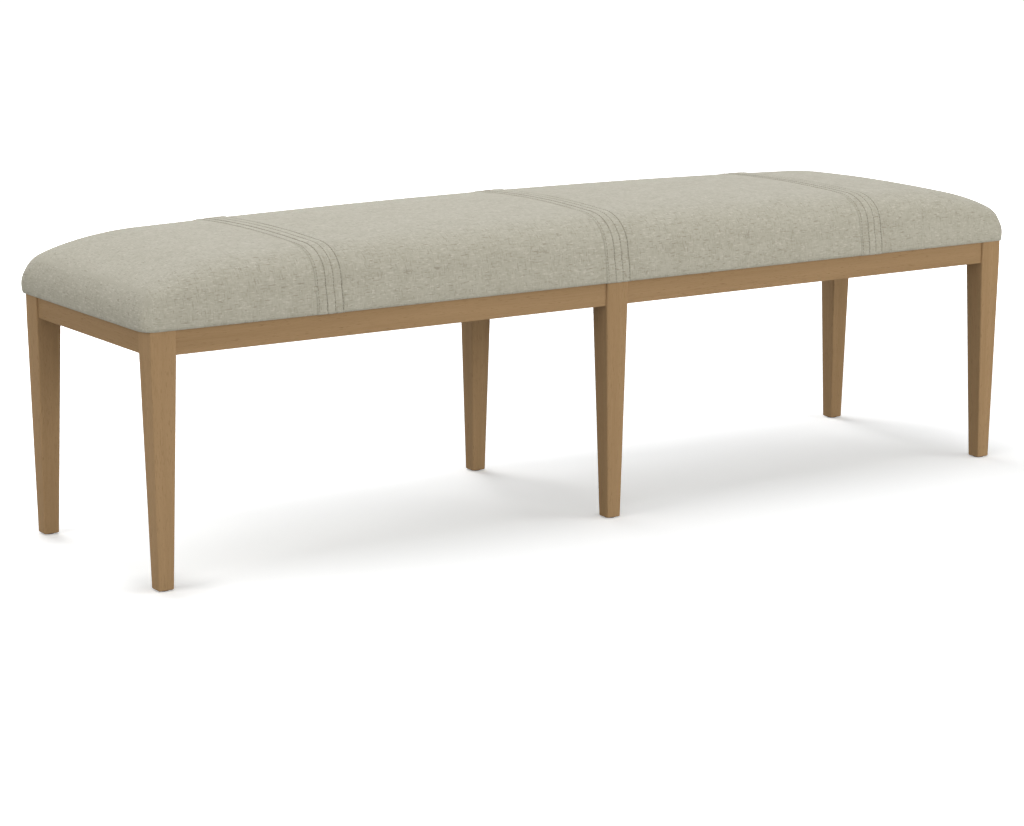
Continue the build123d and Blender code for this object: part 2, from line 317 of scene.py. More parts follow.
def wood_group() -> bpy.types.NodeTree:
    """Build the grain that all wooden finishes share, running along the vector's X.

    Returns:
        The group, giving colour, roughness and height.
    """
    n, given, outlet = new_group(
        "wood_grain",
        {"Vector": "Vector", "Light": "Color", "Dark": "Color", "Pore": "Color", "Figure": "Float"},
        {"Color": "Color", "Roughness": "Float", "Height": "Float"},
    )
    at = given["Vector"]
    bend = n.noise(at, (2.2, 9.0, 9.0), 1.0)
    sway = n.add("VectorMath", operation="SCALE")
    n.plug(sway.inputs[0], (0.0, 1.0, 0.7))
    n.plug(sway.inputs["Scale"], n.math("MULTIPLY", n.math("SUBTRACT", bend, 0.5), 0.02))
    bent = n.vector_math("ADD", at, sway.outputs[0])
    board = n.noise(at, (1.1, 14.0, 14.0), 2.0)
    streak = n.noise(bent, (1.3, 62.0, 62.0), 1.5)
    growth = n.noise(bent, (1.6, 150.0, 150.0), 2.5, 0.55)
    fibre = n.noise(bent, (9.0, 780.0, 780.0), 2.0, 0.6)
    pores = n.span(n.noise(bent, (85.0, 1250.0, 1250.0), 1.0), 0.60, 0.70)
    zones = n.span(growth, 0.40, 0.62)
    tone = n.math("ADD", n.math("MULTIPLY", growth, 0.30), n.math("MULTIPLY", fibre, 0.35))
    tone = n.math("ADD", tone, n.math("MULTIPLY", streak, 0.35))
    tone = n.math("ADD", tone, n.math("MULTIPLY", n.math("SUBTRACT", board, 0.5), 0.5))
    tone = n.math("ADD", 0.5, n.math("MULTIPLY", n.math("SUBTRACT", tone, 0.5), given["Figure"]))
    colour = n.mix(n.span(tone, 0.1, 0.9), given["Dark"], given["Light"])
    pitted = n.math("MULTIPLY", pores, n.math("ADD", 0.12, n.math("MULTIPLY", zones, 0.26)))
    colour = n.mix(pitted, colour, given["Pore"])
    n.plug(outlet.inputs["Color"], colour)
    n.plug(outlet.inputs["Roughness"], n.math("ADD", 0.58, n.math("MULTIPLY", pores, 0.14)))
    height = n.math("SUBTRACT", n.math("MULTIPLY", fibre, 0.5), n.math("MULTIPLY", pores, 0.8))
    n.plug(outlet.inputs["Height"], height)
    return n.tree


def tweed_group() -> bpy.types.NodeTree:
    """Build the heathered tweed that the cover and its bands share.

    Returns:
        The group, giving colour and height.
    """
    n, given, outlet = new_group(
        "heathered_tweed",
        {"Vector": "Vector", "Base": "Color", "Shade": "Color", "Fleck": "Color", "Pale": "Color"},
        {"Color": "Color", "Height": "Float"},
    )
    at = given["Vector"]
    warp = n.noise(at, (85.0, 560.0, 560.0), 2.0, 0.6)
    weft = n.noise(at, (560.0, 95.0, 95.0), 2.0, 0.6)
    over = n.span(n.noise(at, (120.0, 120.0, 120.0), 1.0), 0.36, 0.62)
    yarn = n.math("ADD", n.math("MULTIPLY", warp, over),
                  n.math("MULTIPLY", weft, n.math("SUBTRACT", 1.0, over)))
    patch = n.math("SUBTRACT", n.noise(at, (75.0, 110.0, 110.0), 1.0), 0.5)
    drift = n.math("SUBTRACT", n.noise(at, (22.0, 30.0, 30.0), 2.0), 0.5)
    tone = n.math("ADD", yarn, n.math("MULTIPLY", n.math("ADD", patch, drift), 0.22))
    colour = n.mix(n.span(tone, 0.20, 0.72), given["Shade"], given["Base"])
    flecks = n.span(n.noise(at, (85.0, 520.0, 520.0), 1.5), 0.60, 0.72)
    beside = n.vector_math("ADD", at, (7.3, 2.9, 5.1))
    upright = n.span(n.noise(beside, (520.0, 95.0, 95.0), 1.5), 0.60, 0.72)
    flecks = n.math("MAXIMUM", flecks, n.math("MULTIPLY", upright, 0.85))
    colour = n.mix(n.math("MULTIPLY", flecks, 0.50), colour, given["Fleck"])
    apart = n.vector_math("ADD", at, (3.1, 1.7, 0.9))
    pale = n.span(n.noise(apart, (140.0, 500.0, 500.0), 1.5), 0.58, 0.70)
    colour = n.mix(n.math("MULTIPLY", pale, 0.42), colour, given["Pale"])
    n.plug(outlet.inputs["Color"], colour)
    n.plug(outlet.inputs["Height"], n.math("ADD", yarn, n.math("MULTIPLY", pale, 0.25)))
    return n.tree


def speckle_group() -> bpy.types.NodeTree:
    """Build the fine speckle that plain finishes share.

    Returns:
        The group, giving a colour between two tones and a value.
    """
    n, given, outlet = new_group(
        "fine_speckle",
        {"Vector": "Vector", "Low": "Color", "High": "Color", "Scale": "Float"},
        {"Color": "Color", "Value": "Float"},
    )
    node = n.add("TexNoise")
    n.plug(node.inputs["Vector"], given["Vector"])
    n.plug(node.inputs["Scale"], given["Scale"])
    node.inputs["Detail"].default_value = 3.0
    value = n.span(node.outputs[0], 0.3, 0.7)
    n.plug(outlet.inputs["Color"], n.mix(value, given["Low"], given["High"]))
    n.plug(outlet.inputs["Value"], value)
    return n.tree


def new_material(name: str) -> tuple[bpy.types.Material, Nodes, bpy.types.Node]:
    """Start a material.

    Args:
        name: name of the material.

    Returns:
        The material, its node helper and its shader.
    """
    made = bpy.data.materials.new(name)
    made.use_nodes = True
    return made, Nodes(made.node_tree), made.node_tree.nodes["Principled BSDF"]


@dataclass(frozen=True)
class WoodFinish:
    """A wood with straight grain."""

    name: str
    light: RGB
    dark: RGB
    pore: RGB
    figure: float
    bump: float
    specular: float

    def material(self, group: bpy.types.NodeTree, axis: GrainAxis) -> bpy.types.Material:
        """Make the finish for one grain direction.

        Args:
            group: the shared wood grain.
            axis: way the grain runs.

        Returns:
            The material.
        """
        made, n, shader = new_material(self.name + "_" + axis.name.lower())
        grain = n.group(group, {
            "Vector": n.reordered(n.add("TexCoord").outputs["Object"], axis.order),
            "Light": axis.shaded(self.light),
            "Dark": axis.shaded(self.dark),
            "Pore": self.pore,
            "Figure": self.figure,
        })
        n.plug(shader.inputs["Base Color"], grain.outputs["Color"])
        n.plug(shader.inputs["Roughness"], grain.outputs["Roughness"])
        shader.inputs["Specular IOR Level"].default_value = self.specular
        n.plug(shader.inputs["Normal"], n.bump(grain.outputs["Height"], self.bump, 0.2 * MM))
        return made


@dataclass(frozen=True)
class TweedFinish:
    """The seat's heathered cloth."""

    name: str
    base: RGB
    shade: RGB
    fleck: RGB
    pale: RGB
    bump: float

    def material(self, group: bpy.types.NodeTree) -> bpy.types.Material:
        """Make the cloth; its yarns follow the length of the bench, and its depth on the two ends.

        Args:
            group: the shared tweed.

        Returns:
            The material.
        """
        made, n, shader = new_material(self.name)
        at = n.add("TexCoord").outputs["Object"]
        facing = n.add("SeparateXYZ")
        n.plug(facing.inputs[0], n.add("NewGeometry").outputs["Normal"])
        on_end = n.span(n.math("ABSOLUTE", facing.outputs[0]), 0.66, 0.74)
        cloth = n.group(group, {
            "Vector": n.mix(on_end, at, n.reordered(at, "yxz"), MixKind.VECTOR),
            "Base": self.base,
            "Shade": self.shade,
            "Fleck": self.fleck,
            "Pale": self.pale,
        })
        n.plug(shader.inputs["Base Color"], cloth.outputs["Color"])
        shader.inputs["Roughness"].default_value = 0.92
        shader.inputs["Specular IOR Level"].default_value = 0.06
        shader.inputs["Sheen Weight"].default_value = 0.12
        shader.inputs["Sheen Roughness"].default_value = 0.5
        n.plug(shader.inputs["Normal"], n.bump(cloth.outputs["Height"], self.bump, 0.5 * MM))
        return made


@dataclass(frozen=True)
class PlainFinish:
    """A finish of two close tones with fine speckle."""

    name: str
    low: RGB
    high: RGB
    scale: float
    roughness: float
    metallic: float = 0.0
    bump: float = 0.1

    def material(self, group: bpy.types.NodeTree) -> bpy.types.Material:
        """Make the finish.

        Args:
            group: the shared speckle.

        Returns:
            The material.
        """
        made, n, shader = new_material(self.name)
        speckle = n.group(group, {
            "Vector": n.add("TexCoord").outputs["Object"],
            "Low": self.low,
            "High": self.high,
            "Scale": self.scale,
        })
        n.plug(shader.inputs["Base Color"], speckle.outputs["Color"])
        rough = n.math("MULTIPLY_ADD", speckle.outputs["Value"], 0.12, self.roughness - 0.06)
        n.plug(shader.inputs["Roughness"], rough)
        shader.inputs["Metallic"].default_value = self.metallic
        n.plug(shader.inputs["Normal"], n.bump(speckle.outputs["Value"], self.bump, 0.2 * MM))
        return made


@dataclass
class Finishes:
    """All finishes of the bench, made once."""

    oak: WoodFinish = WoodFinish(
        "oak", (0.414, 0.272, 0.149), (0.307, 0.195, 0.1005), (0.125, 0.072, 0.033), 1.0, 0.25, 0.06)
    beech: WoodFinish = WoodFinish(
        "bare_beech", (0.55, 0.40, 0.25), (0.44, 0.30, 0.17), (0.30, 0.19, 0.10), 0.8, 0.2, 0.25)
    tweed: TweedFinish = TweedFinish(
        "oatmeal_tweed", (0.468, 0.452, 0.389), (0.380, 0.360, 0.298), (0.230, 0.203, 0.158),
        (0.63, 0.61, 0.55), 0.55)
    thread: PlainFinish = PlainFinish("seam_thread", (0.20, 0.18, 0.145), (0.29, 0.27, 0.22), 900.0, 0.8)
    zinc: PlainFinish = PlainFinish("zinc_steel", (0.52, 0.52, 0.52), (0.66, 0.66, 0.67), 420.0, 0.36, 1.0)
    nylon: PlainFinish = PlainFinish("glide_nylon", (0.035, 0.030, 0.026), (0.055, 0.048, 0.042), 600.0, 0.5)
    dust_cloth: PlainFinish = PlainFinish(
        "dust_cloth", (0.018, 0.018, 0.019), (0.050, 0.050, 0.052), 1100.0, 0.9, 0.0, 0.5)
    fibre: PlainFinish = PlainFinish(
        "fibre_wrap", (0.80, 0.80, 0.78), (0.92, 0.92, 0.90), 240.0, 0.95, 0.0, 0.5)
    made: dict[str, bpy.types.Material] = field(default_factory=dict)

    def build(self) -> None:
        """Make every material."""
        wood, tweed, speckle = wood_group(), tweed_group(), speckle_group()
        for axis in GrainAxis:
            self.made["oak_" + axis.letter] = self.oak.material(wood, axis)
            self.made["beech_" + axis.letter] = self.beech.material(wood, axis)
        self.made["tweed"] = self.tweed.material(tweed)
        for plain in (self.thread, self.zinc, self.nylon, self.dust_cloth, self.fibre):
            self.made[plain.name] = plain.material(speckle)


# Meshes


def new_piece(name: str, points: np.ndarray, faces: Iterable[tuple[int, ...]], material: bpy.types.Material,
              smooth: bool = True) -> bpy.types.Object:
    """Make a mesh piece.

    Args:
        name: name of the piece.
        points: vertices in metres.
        faces: vertex numbers of each face.
        material: finish of the piece.
        smooth: True for soft shading.

    Returns:
        The new object.
    """
    mesh = bpy.data.meshes.new(name)
    mesh.from_pydata([tuple(p) for p in points], [], list(faces))
    mesh.validate()
    mesh.polygons.foreach_set("use_smooth", [smooth] * len(mesh.polygons))
    mesh.materials.append(material)
    made = bpy.data.objects.new(name, mesh)
    bpy.context.scene.collection.objects.link(made)
    return made


def grid_faces(rows: int, columns: int, start: int = 0, flip: bool = False) -> list[tuple[int, ...]]:
    """List the quads of a grid of vertices.

    Args:
        rows: vertices along the first way.
        columns: vertices along the second way.
        start: number of the grid's first vertex.
        flip: True to turn the faces over.

    Returns:
        Vertex numbers of the quads.
    """
    faces = []
    for i in range(rows - 1):
        for j in range(columns - 1):
            a = start + i * columns + j
            quad = (a, a + columns, a + columns + 1, a + 1)
            faces.append(quad[::-1] if flip else quad)
    return faces


def closed_slab(outer: np.ndarray, inner: np.ndarray) -> tuple[np.ndarray, list[tuple[int, ...]]]:
    """Close two matching grids into one thin body.

    Args:
        outer: grid of outer points, rows by columns by 3.
        inner: grid of inner points of the same shape.

    Returns:
        Vertices and faces.
    """
    rows, columns = outer.shape[:2]
    count = rows * columns
    points = np.concatenate([outer.reshape(-1, 3), inner.reshape(-1, 3)])
    faces = grid_faces(rows, columns) + grid_faces(rows, columns, count, True)
    rim = [i * columns for i in range(rows)]
    rim += [(rows - 1) * columns + j for j in range(1, columns)]
    rim += [i * columns + columns - 1 for i in range(rows - 2, -1, -1)]
    rim += list(range(columns - 2, 0, -1))
    for a, b in zip(rim, rim[1:] + rim[:1]):
        faces.append((b, a, a + count, b + count))
    return points, faces


@dataclass(frozen=True)
class EdgeForm:
    """How one edge of the seat stands up and rolls over, in metres.

    The wall leans in and bulges out, then rolls over with a fullness of 2 for a round roll
    and more for a squarer one; the top still rises by the crown to the middle.
    """

    wall: float
    lean: float
    bulge: float
    roll: float
    fullness: float
    crown: float


@dataclass
class CushionShape:
    """Form of the upholstered seat, in metres: a crowned slab whose sides and ends roll over."""

    half_length: float = 0.7680
    half_depth: float = 0.2060
    base: float = 0.3580
    height: float = 0.1022
    corner: float = 0.021
    corner_fullness: float = 2.2
    side: EdgeForm = EdgeForm(wall=0.037, lean=0.0047, bulge=0.0019, roll=0.069, fullness=2.28, crown=0.0043)
    end: EdgeForm = EdgeForm(wall=0.042, lean=0.0084, bulge=0.0052, roll=0.162, fullness=1.70, crown=0.0109)

    def half_profile(self, half: float, form: EdgeForm, samples: int = 240) -> np.ndarray:
        """Trace one half profile from its middle to its base.

        Args:
            half: half of the seat's length or depth.
            form: how that edge of the seat stands and rolls over.
            samples: points on each stretch.

        Returns:
            Rows of distance from the middle and share of the full height.
        """
        wall, lean, roll, fullness, crown = form.wall, form.lean, form.roll, form.fullness, form.crown
        rise = self.height - wall - crown
        step = np.linspace(0.0, 1.0, samples)
        edge = half - lean - roll
        top = np.stack([edge * step, self.height - crown * step ** 2], -1)
        turn = (1.0 - step) * math.pi / 2
        inward = 1.0 - np.cos(turn) ** (2 / fullness)
        upward = np.sin(turn) ** (2 / fullness)
        rolled = np.stack([half - lean - roll * inward, wall + rise * upward], -1)
        up = 1.0 - step
        side = np.stack([half - lean * up + self.swell(form, wall * up), wall * up], -1)
        line = np.concatenate([top, rolled[1:], side[1:]])
        line[:, 1] /= self.height
        return line

    def swell(self, form: EdgeForm, rise: np.ndarray) -> np.ndarray:
        """Give how far a wall bulges out at a height over its base."""
        up = np.clip(rise / form.wall, 0.0, 1.0)
        return 4.0 * form.bulge * up * (1.0 - up)

    def spaced(self, line: np.ndarray, pitch: float, stops: tuple[float, ...] = ()) -> np.ndarray:
        """Space points evenly along a half profile.

        Args:
            line: half profile from half_profile.
            pitch: spacing along the profile.
            stops: distances from the middle that get a point of their own.

        Returns:
            Rows of distance and share, from the middle to the base.
        """
        steps = np.diff(line * np.array([1.0, self.height]), axis=0)
        run = np.concatenate([[0.0], np.cumsum(np.hypot(steps[:, 0], steps[:, 1]))])
        marks = [0.0] + [float(np.interp(stop, line[:, 0], run)) for stop in stops] + [float(run[-1])]
        places: list[float] = [0.0]
        for a, b in zip(marks, marks[1:]):
            count = max(int(round((b - a) / pitch)), 1)
            places += [a + (b - a) * k / count for k in range(1, count + 1)]
        return np.stack([np.interp(places, run, line[:, 0]), np.interp(places, run, line[:, 1])], -1)

    def run(self, line: np.ndarray, start: float) -> float:
        """Measure along a half profile from a distance from the middle to the base."""
        steps = np.diff(line[line[:, 0] >= start] * np.array([1.0, self.height]), axis=0)
        return float(np.hypot(steps[:, 0], steps[:, 1]).sum())

    def mirrored(self, half: np.ndarray) -> np.ndarray:
        """Join a half profile with its mirror image, from the negative base to the positive."""
        other = half[:0:-1] * np.array([-1.0, 1.0])
        return np.concatenate([other, half])

    def place(self, along: np.ndarray, across: np.ndarray) -> np.ndarray:
        """Put points on the seat.

        Args:
            along: rows of x and height share.
            across: rows of y and height share.

        Returns:
            Grid of points, along by across by 3.
        """
        x = np.repeat(along[:, 0][:, None], len(across), 1)
        y = np.repeat(across[:, 0][None, :], len(along), 0)
        p = self.corner_fullness
        end_share = np.maximum(along[:, 1], 1e-6)[:, None]
        side_share = np.maximum(across[:, 1], 1e-6)[None, :]
        share = (end_share ** -p + side_share ** -p - 1.0) ** (-1.0 / p)
        z = self.base + self.height * share
        x -= np.sign(x) * self.swell(self.end, self.height * end_share) * (1.0 - share / end_share)
        y -= np.sign(y) * self.swell(self.side, self.height * side_share) * (1.0 - share / side_share)
        past_x = np.maximum(np.abs(x) - (self.half_length - self.corner), 0.0)
        past_y = np.maximum(np.abs(y) - (self.half_depth - self.corner), 0.0)
        reach = np.hypot(past_x, past_y)
        largest = np.maximum(past_x, past_y)
        pull = np.where(reach > 0, largest / np.maximum(reach, 1e-9), 1.0)
        x = np.sign(x) * (np.abs(x) - past_x * (1.0 - pull))
        y = np.sign(y) * (np.abs(y) - past_y * (1.0 - pull))
        return np.stack([x, y, z], -1)

    def normals(self, grid: np.ndarray) -> np.ndarray:
        """Find the outward direction at each point of a grid on the seat.

        Args:
            grid: grid of points, along by across by 3.

        Returns:
            Grid of directions of length 1.
        """
        du = np.gradient(grid, axis=0)
        dv = np.gradient(grid, axis=1)
        n = np.cross(du, dv)
        return n / np.maximum(np.linalg.norm(n, axis=2, keepdims=True), 1e-12)


@dataclass
class SeatCover:
    """The sewn cover: four cloth panels pulled over the pad and hemmed under the seat."""

    shape: CushionShape
    finishes: Finishes
    pitch: float = 0.0095
    cloth: float = 0.0016
    hem: float = 0.050
    fold_crease: float = 0.55
    hem_steps: tuple[float, ...] = (0.06, 0.35, 0.7, 1.0)
    band_step: float = 0.485
    band_half: float = 0.021
    start_inside: float = 0.0001
    most_swell: float = 0.0030
    frames: int = 20
    pressure: float = 0.7
    tension: float = 150.0
    bending: float = 4.0
    weight: float = 0.35
    air: float = 2.0
    quality: int = 8
    held_below: float = 0.0005
    band_ease: float = 0.03
    base_ease: float = 0.02

    def build(self) -> None:
        """Make the sheet, let it swell, and cut it into its panels."""
        shape = self.shape
        along = shape.mirrored(shape.spaced(
            shape.half_profile(shape.half_length, shape.end), self.pitch,
            (self.band_step - self.band_half, self.band_step, self.band_step + self.band_half)))
        across = shape.mirrored(shape.spaced(shape.half_profile(shape.half_depth, shape.side), self.pitch))
        rest = shape.place(along, across)
        grid = self.swollen(rest)
        for panel in CoverPanel:
            self.panel(panel, along, grid)

    def swollen(self, rest: np.ndarray) -> np.ndarray:
        """Let the cover swell between its seams with a short cloth run.

        Args:
            rest: grid of points of the smooth seat.

        Returns:
            Grid of points after the run, none moved further than the limit.
        """
        rows, columns = rest.shape[:2]
        normals = self.shape.normals(rest)
        near_band = np.min([np.abs(rest[:, :, 0] - s * self.band_step) for s in (-1, 0, 1)], axis=0)
        free = np.clip((near_band - self.band_half) / self.band_ease, 0.0, 1.0)
        low = np.clip((rest[:, :, 2] - self.shape.base - self.held_below) / self.base_ease, 0.0, 1.0)
        start = rest - normals * (self.start_inside * free * low)[:, :, None]
        piece = new_piece("cover_run", start.reshape(-1, 3), grid_faces(rows, columns),
                          self.finishes.made["tweed"])
        held = piece.vertex_groups.new(name="held")
        fixed = np.flatnonzero((free * low).ravel() <= 0.0)
        held.add([int(i) for i in fixed], 1.0, "REPLACE")
        cloth = piece.modifiers.new("cloth", "CLOTH")
        cloth.settings.quality = self.quality
        cloth.settings.mass = self.weight
        cloth.settings.tension_stiffness = self.tension
        cloth.settings.compression_stiffness = self.tension
        cloth.settings.shear_stiffness = self.tension / 2
        cloth.settings.bending_stiffness = self.bending
        cloth.settings.air_damping = self.air
        cloth.settings.vertex_group_mass = "held"
        cloth.settings.use_pressure = True
        cloth.settings.uniform_pressure_force = self.pressure
        cloth.settings.effector_weights.gravity = 0.0
        cloth.collision_settings.use_collision = False
        cloth.point_cache.frame_start = 1
        cloth.point_cache.frame_end = self.frames
        scene = bpy.context.scene
        for number in range(1, self.frames + 1):
            scene.frame_set(number)
        settled = piece.evaluated_get(bpy.context.evaluated_depsgraph_get()).to_mesh()
        flat = np.empty(len(settled.vertices) * 3)
        settled.vertices.foreach_get("co", flat)
        moved = flat.reshape(rows, columns, 3) - start
        length = np.linalg.norm(moved, axis=2, keepdims=True)
        moved *= np.minimum(1.0, self.most_swell / np.maximum(length, 1e-9))
        LOG.info("cover run: largest swell %.1f mm", 1000 * float(length.max()))
        scene.frame_set(1)
        bpy.data.objects.remove(piece, do_unlink=True)
        return start + moved

    def turned_edges(self, panel: CoverPanel, rows: int, columns: int) -> list[list[int]]:
        """List the edges of a panel that are turned under the seat.

        Args:
            panel: which of the four panels.
            rows: points of the panel along the bench.
            columns: points of the panel across it.

        Returns:
            Runs of point numbers, each against the clock seen from above.
        """
        front = [i * columns for i in range(rows)]
        back = [i * columns + columns - 1 for i in reversed(range(rows))]
        if panel is CoverPanel.END_LEFT:
            return [back + list(range(columns - 2, 0, -1)) + front]
        if panel is CoverPanel.END_RIGHT:
            return [front + [(rows - 1) * columns + j for j in range(1, columns - 1)] + back]
        return [front, back]

    def turned_in(self, edge: np.ndarray, reach: float) -> np.ndarray:
        """Move points of the bottom edge under the seat, round its corners too.

        Args:
            edge: points of the bottom edge.
            reach: how far they go under.

        Returns:
            The moved points.
        """
        half = np.array([self.shape.half_length, self.shape.half_depth])
        core = np.clip(edge[:, :2], self.shape.corner - half, half - self.shape.corner)
        shrunk = core + (edge[:, :2] - core) * max(1.0 - reach / self.shape.corner, 0.0)
        inner = edge.copy()
        inner[:, :2] = np.clip(shrunk, reach - half, half - reach)
        return inner

    def panel(self, panel: CoverPanel, along: np.ndarray, grid: np.ndarray) -> None:
        """Make one panel of the cover with its hem.

        Args:
            panel: which of the four panels.
            along: rows of x and share of the grid's first way.
            grid: points of the whole cover.
        """
        low, high = (step * self.band_step for step in panel.value)
        use = np.flatnonzero((along[:, 0] >= low - 1e-6) & (along[:, 0] <= high + 1e-6))
        part = grid[use]
        rows, columns = part.shape[:2]
        points = [part.reshape(-1, 3)]
        faces = grid_faces(rows, columns)
        start = rows * columns
        for run in self.turned_edges(panel, rows, columns):
            previous = run
            for share in self.hem_steps:
                points.append(self.turned_in(points[0][run], share * self.hem))
                current = list(range(start, start + len(run)))
                start += len(run)
                for k in range(len(run) - 1):
                    faces.append((previous[k + 1], previous[k], current[k], current[k + 1]))
                previous = current
        made = new_piece(panel.node.replace("cover", "seat_cover"), np.concatenate(points), faces,
                         self.finishes.made["tweed"])
        self.crease_fold(made)
        weld = made.modifiers.new("weld", "WELD")
        weld.merge_threshold = 0.02 * MM
        smooth = made.modifiers.new("smooth", "SUBSURF")
        smooth.levels = smooth.render_levels = 1
        smooth.boundary_smooth = "PRESERVE_CORNERS"
        thick = made.modifiers.new("thickness", "SOLIDIFY")
        thick.thickness = self.cloth
        thick.offset = -1.0
        self.cut_size(panel)
        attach(made, BODY)
        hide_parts(panel.node)

    def crease_fold(self, made: bpy.types.Object) -> None:
        """Keep the fold along the bottom edge of a panel tight, where its wall meets its hem.

        Args:
            made: the panel.
        """
        mesh = made.data
        level = [abs(v.co.z - self.shape.base) < 0.01 * MM for v in mesh.vertices]
        walls = {key for face in mesh.polygons if not all(level[i] for i in face.vertices)
                 for key in face.edge_keys}
        folds = [edge.key in walls and all(level[i] for i in edge.vertices) for edge in mesh.edges]
        crease = mesh.attributes.new("crease_edge", "FLOAT", "EDGE")
        crease.data.foreach_set("value", [self.fold_crease if fold else 0.0 for fold in folds])

    def cut_size(self, panel: CoverPanel) -> tuple[float, float]:
        """Work out a panel's cloth before it is pulled over the pad.

        Args:
            panel: which of the four panels.

        Returns:
            Width and length of the cloth.
        """
        shape = self.shape
        length = 2 * shape.run(shape.half_profile(shape.half_depth, shape.side), 0.0) + 2 * self.hem
        if panel in (CoverPanel.END_LEFT, CoverPanel.END_RIGHT):
            end = shape.half_profile(shape.half_length, shape.end)
            return shape.run(end, self.band_step) + self.hem, length
        return self.band_step, length


